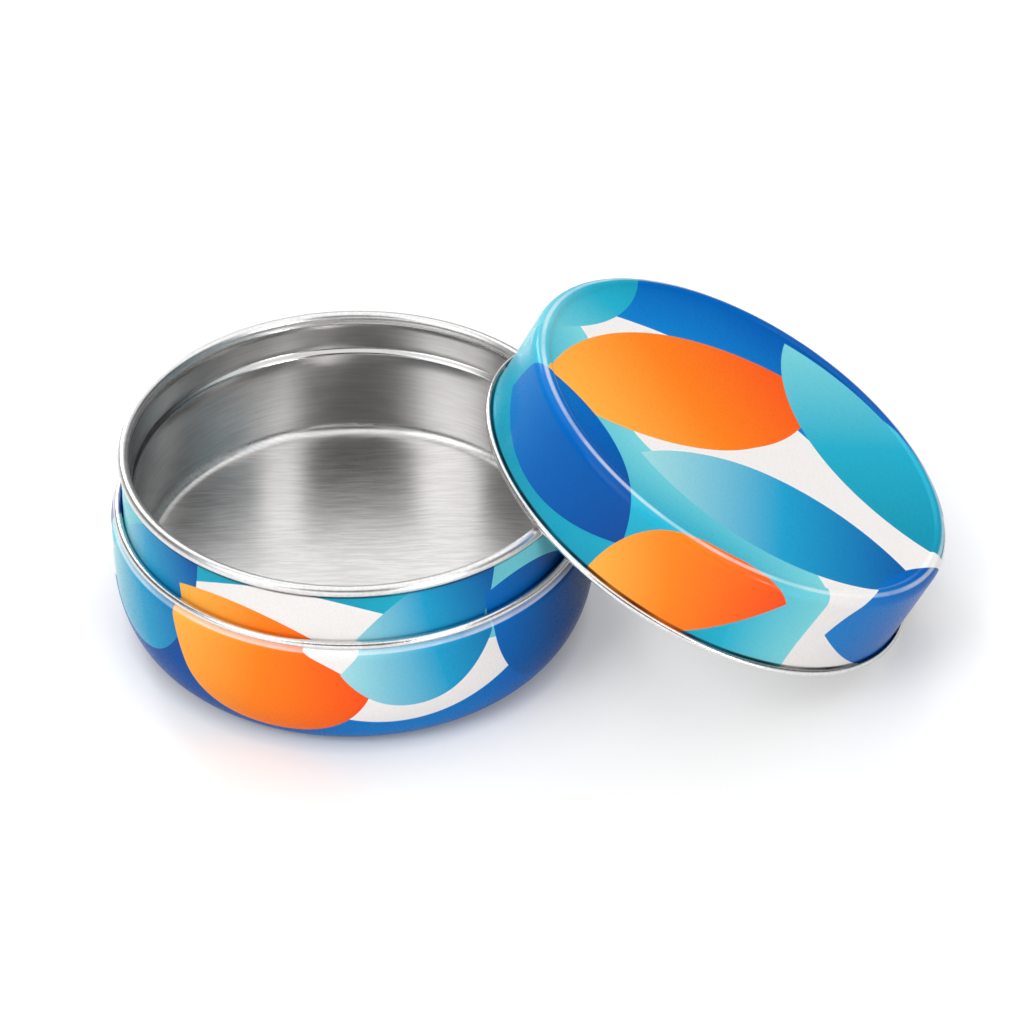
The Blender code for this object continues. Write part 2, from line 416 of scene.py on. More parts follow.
# %% From the wall back to the flat blank
blank, inside, outside = new_group(
    "flat blank",
    [("Point", "Vector"), ("Level", "Float"), ("Direction", "Float")],
    [("Blank", "Vector"), ("Radius", "Float"), ("Angle", "Float")],
)
place_of_point = put(blank, "ShaderNodeSeparateXYZ", {0: inside["Point"]}).outputs
across = {0: place_of_point["X"], 1: place_of_point["Y"]}
flat = put(blank, "ShaderNodeCombineXYZ", across).outputs[0]
radius = maths(blank, "MAXIMUM", vector_maths(blank, "LENGTH", flat), 0.0001)
above_level = maths(blank, "SUBTRACT", place_of_point["Z"], inside["Level"])
rise = maths(blank, "MAXIMUM", maths(blank, "MULTIPLY", above_level, inside["Direction"]), 0.0)
slid = maths(blank, "MULTIPLY", maths(blank, "ADD", radius, rise), 1.0 / MM)
blank.links.new(scaled(blank, flat, maths(blank, "DIVIDE", slid, radius)), outside["Blank"])
blank.links.new(slid, outside["Radius"])
angle_of_point = maths(blank, "ARCTAN2", place_of_point["Y"], place_of_point["X"])
blank.links.new(angle_of_point, outside["Angle"])

# %% Three inks blended into each other
inks, inside, outside = new_group(
    "three inks",
    [("Amount", "Float"), ("Pale", "Color"), ("Middle", "Color"), ("Deep", "Color")],
    [("Colour", "Color")],
)
first = ramp(inks, inside["Amount"], 0.0, 0.5, smooth=False)
second = ramp(inks, inside["Amount"], 0.5, 1.0, smooth=False)
lighter_ink = blend_colours(inks, first, inside["Pale"], inside["Middle"])
inks.links.new(blend_colours(inks, second, lighter_ink, inside["Deep"]), outside["Colour"])


def blended_inks(tree, amount, pale, middle, deep):
    sockets = {"Amount": amount, "Pale": pale, "Middle": middle, "Deep": deep}
    return use_group(tree, inks, sockets)["Colour"]


# %% A leaf: where two discs overlap
INK_EDGE = 0.06

leaf, inside, outside = new_group(
    "leaf",
    [("Under", "Color"), ("Blank", "Vector"), ("Disc A", "Vector"), ("Disc B", "Vector"),
     ("Radius", "Float"), ("Middle", "Vector"), ("Along", "Vector"),
     ("Pale", "Color"), ("Between", "Color"), ("Deep", "Color")],
    [("Colour", "Color")],
)
farther = maths(
    leaf, "MAXIMUM",
    vector_maths(leaf, "DISTANCE", inside["Blank"], inside["Disc A"]),
    vector_maths(leaf, "DISTANCE", inside["Blank"], inside["Disc B"]),
)
cover = ramp(leaf, maths(leaf, "SUBTRACT", farther, inside["Radius"]), INK_EDGE, -INK_EDGE)
from_middle = vector_maths(leaf, "SUBTRACT", inside["Blank"], inside["Middle"])
travel = maths(leaf, "ADD", vector_maths(leaf, "DOT_PRODUCT", from_middle, inside["Along"]), 0.5)
shade = blended_inks(leaf, travel, inside["Pale"], inside["Between"], inside["Deep"])
leaf.links.new(blend_colours(leaf, cover, inside["Under"], shade), outside["Colour"])

# %% Ink colours, each from pale through middle to deep
OFF_WHITE = (0.86, 0.83, 0.815, 1.0)
BLUES = ((0.004, 0.21, 0.60, 1.0), (0.001, 0.12, 0.46, 1.0), (0.001, 0.06, 0.29, 1.0))
# Painted shade: navy inks for the leaf at the base's right end, beside the lid.
SHADE_BLUES = ((0.001, 0.15, 0.52, 1.0), (0.001, 0.07, 0.28, 1.0), (0.001, 0.025, 0.11, 1.0))
TEALS = ((0.20, 0.64, 0.70, 1.0), (0.018, 0.41, 0.58, 1.0), (0.006, 0.27, 0.41, 1.0))
AQUAS = ((0.36, 0.70, 0.73, 1.0), (0.015, 0.34, 0.60, 1.0), (0.003, 0.07, 0.34, 1.0))
ORANGES = ((0.98, 0.49, 0.075, 1.0), (0.97, 0.22, 0.014, 1.0), (0.93, 0.075, 0.012, 1.0))


# %% Leaves and waves on a blank
def add_leaf(tree, under, flat_point, centre, angle, length, width, colours):
    """Draw one leaf over the colour under it: centre and sizes in millimetres on the blank."""
    turn = math.radians(angle)
    along = Vector((math.cos(turn), math.sin(turn), 0.0))
    sideways = Vector((-along.y, along.x, 0.0))
    middle = Vector((*centre, 0.0))
    radius = (length * length + width * width) / (4 * width)
    offset = sideways * (radius - width / 2)
    return use_group(tree, leaf, {
        "Under": under, "Blank": flat_point, "Disc A": middle + offset, "Disc B": middle - offset,
        "Radius": radius, "Middle": middle, "Along": along / length,
        "Pale": colours[0], "Between": colours[1], "Deep": colours[2],
    })["Colour"]


def add_wave(tree, under, flat_point, angle, start, swing, length, shift, fade, colours):
    """Ink what lies beyond a wavy line, which lies start millimetres from the blank's middle."""
    turn = math.radians(angle)
    ahead = Vector((math.cos(turn), math.sin(turn), 0.0))
    sideways = Vector((-ahead.y, ahead.x, 0.0))
    distance = vector_maths(tree, "DOT_PRODUCT", flat_point, ahead)
    side = vector_maths(tree, "DOT_PRODUCT", flat_point, sideways)
    phase = maths(tree, "MULTIPLY_ADD", side, 2 * math.pi / length, math.radians(shift))
    wavy_line = maths(tree, "MULTIPLY_ADD", maths(tree, "SINE", phase), swing, start)
    beyond = maths(tree, "SUBTRACT", distance, wavy_line)
    shade = blended_inks(tree, maths(tree, "DIVIDE", beyond, fade), *colours)
    return blend_colours(tree, ramp(tree, beyond, -INK_EDGE, INK_EDGE), under, shade)


# %% [markdown]
# ## Lines round the tin
# A pale line of painted highlight runs round the lid's edge and under the shoulder, where the light
# would glint. A dark line of painted shade runs in the creases above the lid's curl and under the
# rim. Both are one soft line at a fixed distance from the blank's middle, a little patchy along its
# length.

# %% A line round the tin
# Painted highlight: the pale ink of the lines on the lid's edge and under the shoulder.
HIGHLIGHT_PAINT = (0.96, 0.96, 0.96, 1.0)
# Painted shade: the dark ink of the lines in the creases above the lid's curl and under the rim.
SHADE_PAINT = (0.012, 0.012, 0.015, 1.0)
CORE_SHARE = 0.3
PATCH_SCALE = 90.0
PATCH_RANGE = (0.3, 0.6)
LEAST_KEPT = 0.55

ring_line, inside, outside = new_group(
    "line round the tin",
    [("Under", "Color"), ("Line", "Color"), ("Point", "Vector"), ("Radius", "Float"),
     ("Middle", "Float"), ("Half Width", "Float"), ("Strength", "Float")],
    [("Colour", "Color")],
)
beside = maths(ring_line, "SUBTRACT", inside["Radius"], inside["Middle"])
away = maths(ring_line, "ABSOLUTE", beside)
core = maths(ring_line, "MULTIPLY", inside["Half Width"], CORE_SHARE)
covered = ramp(ring_line, away, core, inside["Half Width"], 1.0, 0.0)
patches = noise(ring_line, inside["Point"], PATCH_SCALE, 3.0)
kept = ramp(ring_line, patches, *PATCH_RANGE, LEAST_KEPT, 1.0)
share = maths(ring_line, "MULTIPLY", covered, kept)
share = maths(ring_line, "MULTIPLY", share, inside["Strength"])
lined = blend_colours(ring_line, share, inside["Under"], inside["Line"])
ring_line.links.new(lined, outside["Colour"])


def add_ring(tree, under, sheet, point, middle, half_width, strength, tint):
    """A line at one distance from the blank's middle, in millimetres: a painted highlight or shade.
    """
    return use_group(tree, ring_line, {
        "Under": under, "Line": tint, "Point": point, "Radius": sheet["Radius"],
        "Middle": middle, "Half Width": half_width, "Strength": strength,
    })["Colour"]


# %% [markdown]
# ## Print finish
# Ink on tinplate is thin and satin, with a fine grain from the press and a clear varnish on top.
# One very fine noise moves its brightness, its roughness and a bump of a few thousandths of a
# millimetre. The varnish is the shader's coat, and it is thicker on the lid than on the base.

# %% Print finish
GRAIN_SCALE = 2600.0
GRAIN_DEPTH = 0.003 * MM
GRAIN_BRIGHTNESS = (0.95, 1.05)
GRAIN_ROUGHNESS = (0.24, 0.34)
INK_GLOSS = 0.03
BASE_VARNISH = 0.08
LID_VARNISH = 0.18
VARNISH_ROUGHNESS = 0.08

grain, inside, outside = new_group(
    "print grain",
    [("Point", "Vector"), ("Colour", "Color")],
    [("Colour", "Color"), ("Roughness", "Float"), ("Height", "Float")],
)
speck = noise(grain, inside["Point"], GRAIN_SCALE, 2.0, 0.7)
brightness = ramp(grain, speck, 0.25, 0.75, *GRAIN_BRIGHTNESS, smooth=False)
rough_ink = ramp(grain, speck, 0.2, 0.8, *GRAIN_ROUGHNESS, smooth=False)
grain.links.new(scaled(grain, inside["Colour"], brightness), outside["Colour"])
grain.links.new(rough_ink, outside["Roughness"])
grain.links.new(speck, outside["Height"])


def printed_sheet(name, draw, varnish, place=None):
    """A printed finish: draw makes the colour, place carries a point into the piece's axes."""
    material, tree = new_material(name)
    point = put(tree, "ShaderNodeTexCoord").outputs["Object"]
    own_point = point
    if place is not None:
        back = place.inverted()
        own_axes = {
            "Vector": point, "Location": back.translation, "Rotation": back.to_euler("XYZ"),
        }
        own_point = put(tree, "ShaderNodeMapping", own_axes, vector_type="POINT").outputs[0]
    finish = use_group(tree, grain, {"Point": point, "Colour": draw(tree, own_point)})
    bump = put(tree, "ShaderNodeBump", {"Height": finish["Height"], "Distance": GRAIN_DEPTH})
    ink = put(tree, "ShaderNodeBsdfPrincipled", {
        "Base Color": finish["Colour"], "Roughness": finish["Roughness"],
        "Normal": bump.outputs[0], "Metallic": 0.0, "Specular IOR Level": INK_GLOSS,
        "Coat Weight": varnish, "Coat Roughness": VARNISH_ROUGHNESS,
    })
    put(tree, "ShaderNodeOutputMaterial", {"Surface": ink.outputs[0]})
    return material


# %% [markdown]
# ## Turned sheets
# Every piece of this tin is one bent sheet, turned about an axis. It could be spun in code or with
# a Screw modifier. Geometry Nodes do it here: the outline of the sheet's section is
# swept round a circle, welded at the axis, and gets ink on its printed side only. The sweep leaves
# the faces pointing inwards, so they are flipped. Each piece prints its volume, which is positive
# only where the faces point outwards.

# %% The section of a sheet
def between(start, end, along, up):
    """The point at the share along of a run's width and the share up of its height."""
    return (start[0] + (end[0] - start[0]) * along, start[1] + (end[1] - start[1]) * up)


def on_arc(centre, radii, degrees):
    """The point of an ellipse at one angle."""
    angle = math.radians(degrees)
    return (centre[0] + radii[0] * math.cos(angle), centre[1] + radii[1] * math.sin(angle))


def arc(centre, radii, start, turn, steps):
    """Points on an ellipse arc, from the angle start through the angle turn, in degrees."""
    return [on_arc(centre, radii, start + turn * index / steps) for index in range(steps + 1)]


def line(start, end, steps):
    """Points on a straight run, without its first point."""
    return [between(start, end, index / steps, index / steps) for index in range(1, steps + 1)]


def swell(start, end, steps):
    """Points on a soft S from start to end, without the first point."""
    shares = [index / steps for index in range(1, steps + 1)]
    return [between(start, end, share, share * share * (3 - 2 * share)) for share in shares]


def bevel(start, end, corner, steps=16):
    """A straight slope whose two corners are eased over the share corner of its run."""
    points = []
    slope = 1.0 / (1.0 - corner)
    for index in range(1, steps + 1):
        share = index / steps
        if share < corner:
            rise = slope * share * share / (2 * corner)
        elif share > 1 - corner:
            rise = 1 - slope * (1 - share) ** 2 / (2 * corner)
        else:
            rise = slope * (share - corner / 2)
        points.append(between(start, end, share, rise))
    return points


def rounded_end(tip, inner, half):
    """The cut edge of a sheet, rounded: points from the right to the left side of its run."""
    run = Vector((tip[0] - inner[0], tip[1] - inner[1])).normalized()
    side = Vector((run.y, -run.x))
    points = []
    for degrees in (30.0, 60.0, 90.0, 120.0, 150.0):
        angle = math.radians(degrees)
        offset = (side * math.cos(angle) + run * math.sin(angle)) * half
        points.append((tip[0] + offset.x, tip[1] + offset.y, 0.0))
    return points


def section(middle, sheet, printed_side):
    """Outline of a sheet round its middle line, as (radius, height, printed) in millimetres.
    printed_side is right or left of the way the middle line runs, or none."""
    half = sheet / 2
    ink_right = 1.0 if printed_side == "right" else 0.0
    ink_left = 1.0 if printed_side == "left" else 0.0
    right = []
    left = []
    for index, (radius, height) in enumerate(middle):
        before = middle[max(index - 1, 0)]
        after = middle[min(index + 1, len(middle) - 1)]
        run = Vector((after[0] - before[0], after[1] - before[1])).normalized()
        if radius == 0.0:
            run = Vector((1.0, 0.0))
        right.append((radius + half * run.y, height - half * run.x, ink_right))
        left.append((radius - half * run.y, height + half * run.x, ink_left))
    outline = right + rounded_end(middle[-1], middle[-2], half) + left[::-1]
    if middle[0][0] > 0.0:
        outline += rounded_end(middle[0], middle[1], half)
    return outline


# %% The turning tree
SPIN_RADIUS = 10.0 * MM
AROUND = 288
WELD_DISTANCE = 0.002 * MM
INK_FROM = 0.6


def turned_sheet_tree():
    """The tree that turns a section, and the identifiers of its own inputs."""
    tree = bpy.data.node_groups.new("turned sheet", "GeometryNodeTree")
    interface = tree.interface
    interface.new_socket("Geometry", in_out="INPUT", socket_type="NodeSocketGeometry")
    sockets = {
        "Around": interface.new_socket("Around", in_out="INPUT", socket_type="NodeSocketInt"),
        "Ink": interface.new_socket("Ink", in_out="INPUT", socket_type="NodeSocketMaterial"),
        "Metal": interface.new_socket("Metal", in_out="INPUT", socket_type="NodeSocketMaterial"),
    }
    interface.new_socket("Geometry", in_out="OUTPUT", socket_type="NodeSocketGeometry")
    given = tree.nodes.new("NodeGroupInput").outputs
    result = tree.nodes.new("NodeGroupOutput")

    def step(kind, inputs, **options):
        return put(tree, kind, inputs, **options).outputs[0]

    outline = step("GeometryNodeMeshToCurve", {"Mesh": given["Geometry"]})
    ring = {"Resolution": given["Around"], "Radius": SPIN_RADIUS}
    circle = step("GeometryNodeCurvePrimitiveCircle", ring)
    swept = step("GeometryNodeCurveToMesh", {"Curve": circle, "Profile Curve": outline})
    weld = {"Geometry": swept, "Distance": WELD_DISTANCE}
    welded = step("GeometryNodeMergeByDistance", weld)
    outward = step("GeometryNodeFlipFaces", {"Mesh": welded})
    smooth = step("GeometryNodeSetShadeSmooth", {"Geometry": outward})
    real = step("GeometryNodeRealizeInstances", {"Geometry": smooth})
    metal = step("GeometryNodeSetMaterial", {"Geometry": real, "Material": given["Metal"]})
    flag = step("GeometryNodeInputNamedAttribute", {"Name": "printed"}, data_type="FLOAT")
    over = {"data_type": "FLOAT", "operation": "GREATER_THAN"}
    inked = step("FunctionNodeCompare", {0: flag, 1: INK_FROM}, **over)
    ink = step("GeometryNodeSetMaterial", {
        "Geometry": metal, "Selection": inked, "Material": given["Ink"],
    })
    tree.links.new(ink, result.inputs["Geometry"])
    return tree, {name: socket.identifier for name, socket in sockets.items()}


turning, turning_inputs = turned_sheet_tree()
print("turning tree inputs:", turning_inputs)


# %% Turn one sheet
def signed_volume(mesh):
    """Volume inside a closed mesh: positive where its faces point outwards."""
    mesh.calc_loop_triangles()
    total = 0.0
    for triangle in mesh.loop_triangles:
        a, b, c = (mesh.vertices[index].co for index in triangle.vertices)
        total += a.dot(b.cross(c)) / 6.0
    return total


def turn_sheet(name, outline, closed, ink, metal, place=None):
    """Turn a section, in millimetres, into a piece: place carries it to where the piece lies."""
    draft = bpy.data.meshes.new(name + "_section")
    points = [(radius * MM - SPIN_RADIUS, -height * MM, 0.0) for radius, height, _ in outline]
    count = len(points)
    edges = [(index, index + 1) for index in range(count - 1)]
    if closed:
        edges.append((count - 1, 0))
    draft.from_pydata(points, edges, [])
    printed = draft.attributes.new("printed", "FLOAT", "POINT")
    printed.data.foreach_set("value", [flag for _, _, flag in outline])
    piece = bpy.data.objects.new(name, draft)
    bpy.context.scene.collection.objects.link(piece)
    rule = piece.modifiers.new("turned_sheet", "NODES")
    rule.node_group = turning
    rule[turning_inputs["Around"]] = AROUND
    rule[turning_inputs["Ink"]] = ink
    rule[turning_inputs["Metal"]] = metal
    graph = bpy.context.evaluated_depsgraph_get()
    mesh = bpy.data.meshes.new_from_object(piece.evaluated_get(graph))
    piece.modifiers.remove(rule)
    piece.data = mesh
    mesh.name = name
    if place is not None:
        mesh.transform(place)
    volume = round(signed_volume(mesh) / MM ** 3)
    print(name, len(mesh.polygons), "faces, volume", volume, "mm3")
    return piece


# %% [markdown]
# ## Sizes shared by the pieces
# These are the tin's own sizes in millimetres, as a tinsmith would write them on the drawing. The
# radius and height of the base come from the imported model, so the pieces stay where it is.

# %% Sizes
GAP = 0.3
NECK_INSET = 2.6
BODY_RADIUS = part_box("body_shell")[1].x / MM
BASE_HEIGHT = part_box("inner_cup")[1].z / MM
SHOULDER_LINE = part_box("body_shell")[1].z / MM
NECK_RADIUS = BODY_RADIUS - NECK_INSET
RIM_OUTER = NECK_RADIUS + GAP + SHEET
RIM_ROLL = 2.3
RIM_CENTRE = (RIM_OUTER - RIM_ROLL / 2, BASE_HEIGHT - RIM_ROLL / 2)
SHOULDER_ROLL = 1.7
SHOULDER_CENTRE = (NECK_RADIUS + GAP + SHOULDER_ROLL / 2, SHOULDER_LINE - SHOULDER_ROLL / 2)
print("rim", RIM_OUTER, "body", BODY_RADIUS, "height", BASE_HEIGHT)

# %% [markdown]
# ## Design on the base
# The bowl and the neck share one design, so its shapes run across the shoulder. Two wavy rings of
# ink come first, one from the rim down and one from the foot up, and nine leaves lie over them.
# They are listed as a printer would: place, slant, size and inks.

# %% Finish for the base print
RING_SHADING = (0.4, 0.5)
# A pale line of painted highlight just under the shoulder roll.
SHOULDER_HIGHLIGHT_PAINT = {"half_width": 0.2, "strength": 0.45, "tint": HIGHLIGHT_PAINT}
# A dark line of painted shadow on the neck, under the rim's roll.
UNDER_RIM_SHADE_PAINT = {"half_width": 0.6, "strength": 0.8, "tint": SHADE_PAINT}
BASE_RINGS = (
    # radius on the blank, swing, number of waves, shift, side that is inked, inks
    (80.0, 7.0, 3.0, 55.0, 1.0, TEALS),
    (66.0, 9.0, 3.0, 150.0, -1.0, BLUES),
)
BASE_LEAVES = (
    # angle round the tin, radius on the blank, slant, length, width, inks
    (-150.0, 74.0, -18.0, 58.0, 26.0, AQUAS),
    (-115.0, 66.0, 12.0, 64.0, 28.0, ORANGES),
    (-72.0, 76.0, -20.0, 58.0, 25.0, AQUAS),
    # Navy leaf beside the lid: painted shade on the base's right end.
    (-38.0, 68.0, 16.0, 56.0, 26.0, SHADE_BLUES),
    (0.0, 80.0, -15.0, 54.0, 24.0, TEALS),
    (35.0, 68.0, 22.0, 58.0, 26.0, ORANGES),
    (78.0, 76.0, -18.0, 60.0, 26.0, AQUAS),
    (120.0, 66.0, 18.0, 60.0, 26.0, ORANGES),
    (165.0, 80.0, 20.0, 54.0, 24.0, BLUES),
)


def base_blank(tree, point):
    return use_group(tree, blank, {"Point": point, "Level": 0.0, "Direction": 1.0})


def draw_base(tree, point):
    sheet = base_blank(tree, point)
    colour = OFF_WHITE
    for start, swing, waves, shift, outward, colours in BASE_RINGS:
        phase = maths(tree, "MULTIPLY_ADD", sheet["Angle"], waves, math.radians(shift))
        wave = maths(tree, "SINE", phase)
        edge = maths(tree, "MULTIPLY_ADD", wave, swing, start)
        beyond = maths(tree, "SUBTRACT", sheet["Radius"], edge)
        beyond = maths(tree, "MULTIPLY", beyond, outward)
        amount = maths(tree, "MULTIPLY_ADD", wave, *RING_SHADING)
        shade = blended_inks(tree, amount, *colours)
        colour = blend_colours(tree, ramp(tree, beyond, -INK_EDGE, INK_EDGE), colour, shade)
    for angle, radius, slant, length, width, colours in BASE_LEAVES:
        place = math.radians(angle)
        centre = (radius * math.cos(place), radius * math.sin(place))
        leaf_angle = angle + 90.0 + slant
        colour = add_leaf(
            tree, colour, sheet["Blank"], centre, leaf_angle, length, width, colours,
        )
    return colour


# The bowl's print, with a painted highlight under the shoulder roll.
def draw_body(tree, point):
    shoulder = BODY_RADIUS + SHOULDER_LINE - 1.5 * SHOULDER_ROLL
    sheet = base_blank(tree, point)
    return add_ring(tree, draw_base(tree, point), sheet, point, shoulder, **SHOULDER_HIGHLIGHT_PAINT)


# The neck's print, with a painted shadow under the rim's roll.
def draw_neck(tree, point):
    under_rim = NECK_RADIUS + BASE_HEIGHT - RIM_ROLL + 0.1
    sheet = base_blank(tree, point)
    return add_ring(tree, draw_base(tree, point), sheet, point, under_rim, **UNDER_RIM_SHADE_PAINT)


body_print = printed_sheet("print_body", draw_body, BASE_VARNISH)
neck_print = printed_sheet("print_neck", draw_neck, BASE_VARNISH)
print("base design:", len(BASE_RINGS), "wavy rings and", len(BASE_LEAVES), "leaves")

# %% [markdown]
# ## Outer bowl
# The bowl is drawn from one printed sheet: a flat bottom with a pressed ring, a big soft heel, a
# straight wall and a rounded shoulder. Its top edge is rolled outwards, so the roll shows the bare
# back of the sheet. That is the bright line round the tin's shoulder.

# %% Outer bowl
HEEL = (8.2, 15.0)
SHOULDER_RISE = 2.2
FOOT_RING = (33.5, 36.5, 0.5)

low = SHEET / 2
wall = BODY_RADIUS - SHEET / 2
roll_radius = (SHOULDER_ROLL - SHEET) / 2
roll_bottom = SHOULDER_CENTRE[1] - roll_radius
shoulder_foot = (SHOULDER_CENTRE[0], roll_bottom - SHOULDER_RISE)
shoulder_size = (wall - SHOULDER_CENTRE[0], SHOULDER_RISE)
ring_crest = ((FOOT_RING[0] + FOOT_RING[1]) / 2, low + FOOT_RING[2])
bowl = [(0.0, low)]
bowl += line(bowl[-1], (FOOT_RING[0], low), 6)
bowl += swell(bowl[-1], ring_crest, 6)
bowl += swell(bowl[-1], (FOOT_RING[1], low), 6)
bowl += line(bowl[-1], (wall - HEEL[0], low), 2)
bowl += arc((wall - HEEL[0], low + HEEL[1]), HEEL, -90.0, 90.0, 28)[1:]
bowl += line(bowl[-1], (wall, shoulder_foot[1]), 3)
bowl += arc(shoulder_foot, shoulder_size, 0.0, 90.0, 12)[1:]
bowl += arc(SHOULDER_CENTRE, (roll_radius, roll_radius), -90.0, -300.0, 28)[1:]
bowl_section = section(bowl, SHEET, "right")
body_piece = turn_sheet("outer_bowl", bowl_section, False, body_print, edge_metal)
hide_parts("body_shell")
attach(body_piece, "base")

# %% [markdown]
# ## Neck
# The neck is a printed band that stands inside the shoulder roll. A small flange at its foot is
# trapped under the shoulder, and its top edge disappears into the rim.

# %% Neck
FLANGE = 1.1
FLANGE_BEND = 0.35

neck_wall = NECK_RADIUS - SHEET / 2
flange_height = SHOULDER_CENTRE[1] - SHOULDER_ROLL / 2 - GAP - SHEET / 2
bend_centre = (neck_wall + FLANGE_BEND, flange_height + FLANGE_BEND)
neck = [(neck_wall + FLANGE, flange_height)]
neck += line(neck[-1], (neck_wall + FLANGE_BEND, flange_height), 3)
neck += arc(bend_centre, (FLANGE_BEND, FLANGE_BEND), -90.0, -90.0, 6)[1:]
neck += line(neck[-1], (neck_wall, RIM_CENTRE[1]), 8)
neck_section = section(neck, SHEET, "right")
neck_piece = turn_sheet("neck_band", neck_section, True, neck_print, edge_metal)
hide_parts("neck_collar")
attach(neck_piece, "base")

# %% [markdown]
# ## Inner cup
# The cup is bare tinplate inside and out. One small step runs round its wall, and the floor meets
# the wall in a soft fillet. The top edge is rolled outwards over the neck to make the rim: it
# leaves the wall at a small lip, which shows as a thin dark line inside the rim.

# %% Inner cup
CUP_DEPTH = 29.4
CUP_TAPER = 0.4
STEP_BELOW_RIM = 8.6
STEP_HEIGHT = 1.15
STEP_WIDTH = 1.1
STEP_SHARES = (0.15, 0.3, 0.45, 0.6, 0.75, 0.9, 1.0)
FLOOR_FILLET = 2.4
LIP_WIDTH = 0.2
LIP_RISE = 0.5
ROLL_UNDER = 48.0
ROLL_OVER = 220.0

cup_floor = BASE_HEIGHT - CUP_DEPTH - SHEET / 2
rim_radius = (RIM_ROLL - SHEET) / 2
rim_radii = (rim_radius, rim_radius)
roll_start = on_arc(RIM_CENTRE, rim_radii, 180.0 + ROLL_UNDER)
upper_wall = roll_start[0] - LIP_WIDTH
lower_wall = upper_wall - STEP_WIDTH
foot = lower_wall - CUP_TAPER
step_top = BASE_HEIGHT - STEP_BELOW_RIM
step_foot = step_top - STEP_HEIGHT
cup = [(0.0, cup_floor)]
cup += line(cup[-1], (foot - FLOOR_FILLET, cup_floor), 8)
fillet_centre = (foot - FLOOR_FILLET, cup_floor + FLOOR_FILLET)
cup += arc(fillet_centre, (FLOOR_FILLET, FLOOR_FILLET), -90.0, 90.0, 12)[1:]
cup += line(cup[-1], (lower_wall, step_foot), 6)
for share in STEP_SHARES:
    ease = share * share * (3 - 2 * share)
    cup.append((lower_wall + STEP_WIDTH * ease, step_foot + STEP_HEIGHT * share))
cup += line(cup[-1], (upper_wall, roll_start[1] - LIP_RISE), 5)
cup += swell(cup[-1], roll_start, 6)
cup += arc(RIM_CENTRE, rim_radii, 180.0 + ROLL_UNDER, -ROLL_UNDER - ROLL_OVER, 32)[1:]
cup_section = section(cup, SHEET, "none")
cup_piece = turn_sheet("inner_cup_bare", cup_section, False, cup_metal, cup_metal)
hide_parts("inner_cup")
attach(cup_piece, "base")

# %% [markdown]
# ## Lid
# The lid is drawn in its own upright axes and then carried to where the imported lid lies. The axis
# of a turned cap is the direction in which its points spread least, so it is measured from the
# packed lid's own vertices.

# %% Where the lid lies
LID_ROLL = 1.5
AXIS_ROUNDS = 60
lid_points = [vertex.co.copy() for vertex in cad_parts["lid_shell"].data.vertices]
middle = sum(lid_points, Vector()) / len(lid_points)


def lid_axis(points, centre):
    """Unit vector along which the points spread least, pointing up."""
    spread = Matrix.Diagonal((1e-12, 1e-12, 1e-12))
    for point in points:
        offset = point - centre
        for row in range(3):
            for column in range(3):
                spread[row][column] += offset[row] * offset[column]
    inverse = spread.inverted()
    direction = Vector((0.3, 0.1, 1.0))
    for _ in range(AXIS_ROUNDS):
        direction = (inverse @ direction).normalized()
    return direction if direction.z > 0 else -direction


axis = lid_axis(lid_points, middle)
lowest = min((point - middle).dot(axis) for point in lid_points)
roll_centre = middle + axis * (lowest + LID_ROLL / 2 * MM)
sideways = Vector((0.0, 0.0, 1.0)).cross(axis).normalized()
forward = sideways.cross(axis)
lid_place = Matrix((
    (forward.x, sideways.x, axis.x, roll_centre.x),
    (forward.y, sideways.y, axis.y, roll_centre.y),
    (forward.z, sideways.z, axis.z, roll_centre.z),
    (0.0, 0.0, 0.0, 1.0),
))
lid_tilt = math.degrees(axis.angle(Vector((0.0, 0.0, 1.0))))
print("lid tilt", round(lid_tilt, 2), "centre", tuple(roll_centre))
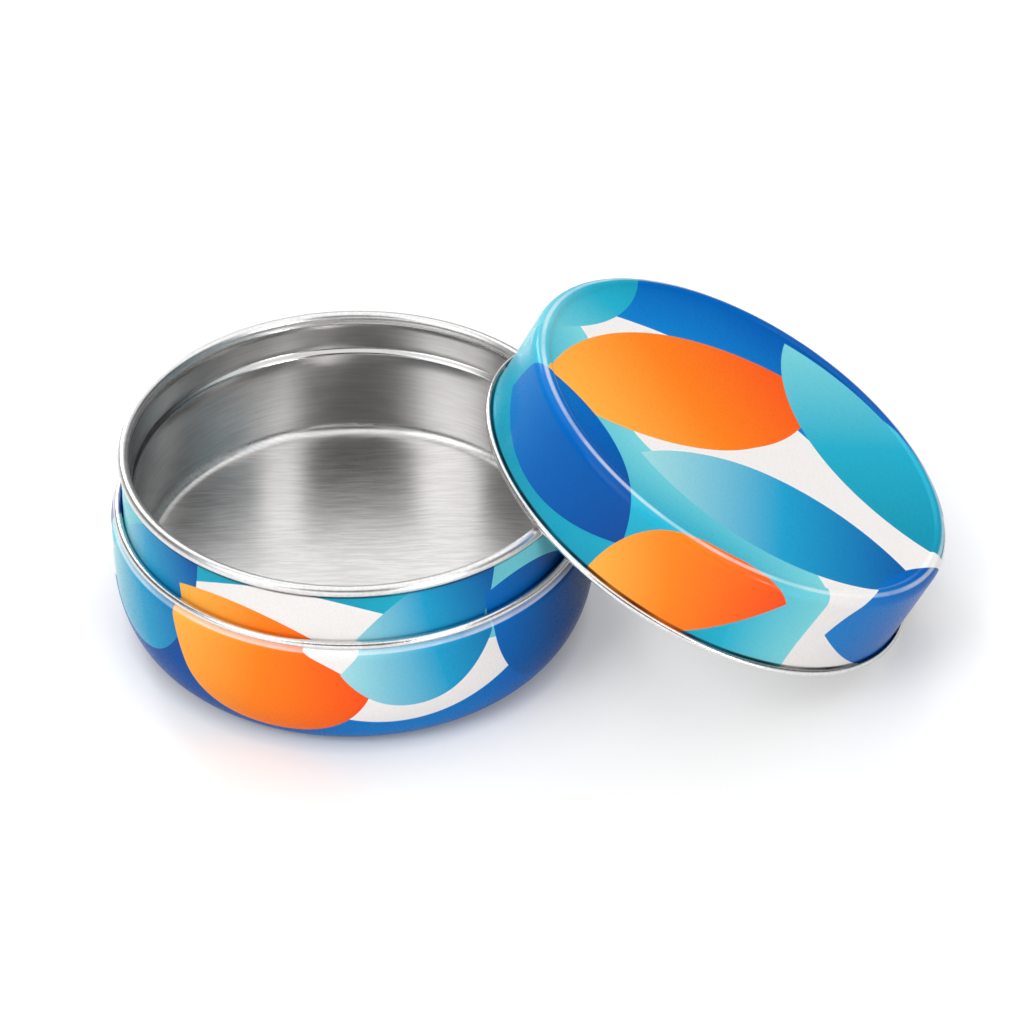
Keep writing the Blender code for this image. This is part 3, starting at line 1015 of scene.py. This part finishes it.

# %% [markdown]
# ## Design on the lid
# The lid's blank starts at its top, so the design slides outwards as the skirt goes down. Two
# waves cover the sides of the panel, and seven leaves lie over them, most of which run over the
# edge into the skirt. A pale line of painted highlight lies on the rounded edge, and a dark line
# of painted shade lies in the crease where the skirt meets the curl.

# %% Finish for the lid print
LID_HEIGHT = 20.8
LID_TOP = LID_HEIGHT - LID_ROLL / 2
LID_SKIRT = RIM_OUTER + GAP + SHEET / 2
LID_EDGE = 2.2
CREST = LID_SKIRT - LID_EDGE * 0.55
CREASE = LID_SKIRT + SHEET / 2 + LID_TOP - 0.7
# A pale line of painted highlight on the lid's rounded edge.
EDGE_HIGHLIGHT_PAINT = {"half_width": 0.8, "strength": 0.42, "tint": HIGHLIGHT_PAINT}
# A dark line of painted shade in the crease above the lid's curl.
CURL_SHADE_PAINT = {"half_width": 0.6, "strength": 0.95, "tint": SHADE_PAINT}
LID_WAVES = (
    # angle, start, swing, wave length, shift, fade, inks
    (72.0, 15.0, 6.0, 84.0, 30.0, 44.0, BLUES),
    (222.0, 24.0, 7.0, 74.0, 110.0, 46.0, TEALS),
)
LID_LEAVES = (
    # centre on the blank, angle, length, width, inks
    ((-14.0, 7.0), 28.0, 78.0, 36.0, ORANGES),
    ((30.0, 12.0), -62.0, 66.0, 28.0, TEALS),
    ((6.0, -26.0), -8.0, 66.0, 28.0, AQUAS),
    ((-38.0, 34.0), 58.0, 58.0, 26.0, TEALS),
    ((44.0, -36.0), 40.0, 56.0, 26.0, BLUES),
    ((-46.0, -24.0), -62.0, 56.0, 26.0, BLUES),
    ((-20.0, -56.0), 8.0, 54.0, 24.0, ORANGES),
)


# The lid's print, with a painted highlight on its edge and painted shade in the curl's crease.
def draw_lid(tree, point):
    top_down = {"Point": point, "Level": LID_TOP * MM, "Direction": -1.0}
    sheet = use_group(tree, blank, top_down)
    colour = OFF_WHITE
    for wave in LID_WAVES:
        colour = add_wave(tree, colour, sheet["Blank"], *wave)
    for lid_leaf in LID_LEAVES:
        colour = add_leaf(tree, colour, sheet["Blank"], *lid_leaf)
    colour = add_ring(tree, colour, sheet, point, CREST, **EDGE_HIGHLIGHT_PAINT)
    return add_ring(tree, colour, sheet, point, CREASE, **CURL_SHADE_PAINT)


lid_print = printed_sheet("print_lid", draw_lid, LID_VARNISH, lid_place)
print("lid design:", len(LID_WAVES), "waves and", len(LID_LEAVES), "leaves")

# %% [markdown]
# ## The lid's sheet
# The panel lies a little lower than its edge: a short slope climbs to a narrow ridge, which turns
# over a small radius into the skirt. The skirt's lower edge is curled outwards, so that it doesn't
# cut, and shows the bare back of the sheet.

# %% Lid
RIDGE_WIDTH = 0.3
PANEL_SLOPE = 0.9
PANEL_DROP = 0.45
SLOPE_CORNER = 0.18
CURL_TURN = 255.0

curl_radius = (LID_ROLL - SHEET) / 2
top = LID_TOP - SHEET / 2
edge_start = LID_SKIRT - LID_EDGE
ridge_start = edge_start - RIDGE_WIDTH
cap = [(0.0, top - PANEL_DROP)]
cap += line(cap[-1], (ridge_start - PANEL_SLOPE, top - PANEL_DROP), 8)
cap += bevel(cap[-1], (ridge_start, top), SLOPE_CORNER)
cap += line(cap[-1], (edge_start, top), 2)
cap += arc((edge_start, top - LID_EDGE), (LID_EDGE, LID_EDGE), 90.0, -90.0, 20)[1:]
cap += line(cap[-1], (LID_SKIRT, 0.0), 5)
curl_centre = (LID_SKIRT + curl_radius, 0.0)
cap += arc(curl_centre, (curl_radius, curl_radius), 180.0, CURL_TURN, 26)[1:]
cap_section = section(cap, SHEET, "left")
lid_piece = turn_sheet("slip_lid", cap_section, False, lid_print, edge_metal, lid_place)
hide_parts("lid_shell")
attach(lid_piece, "lid")
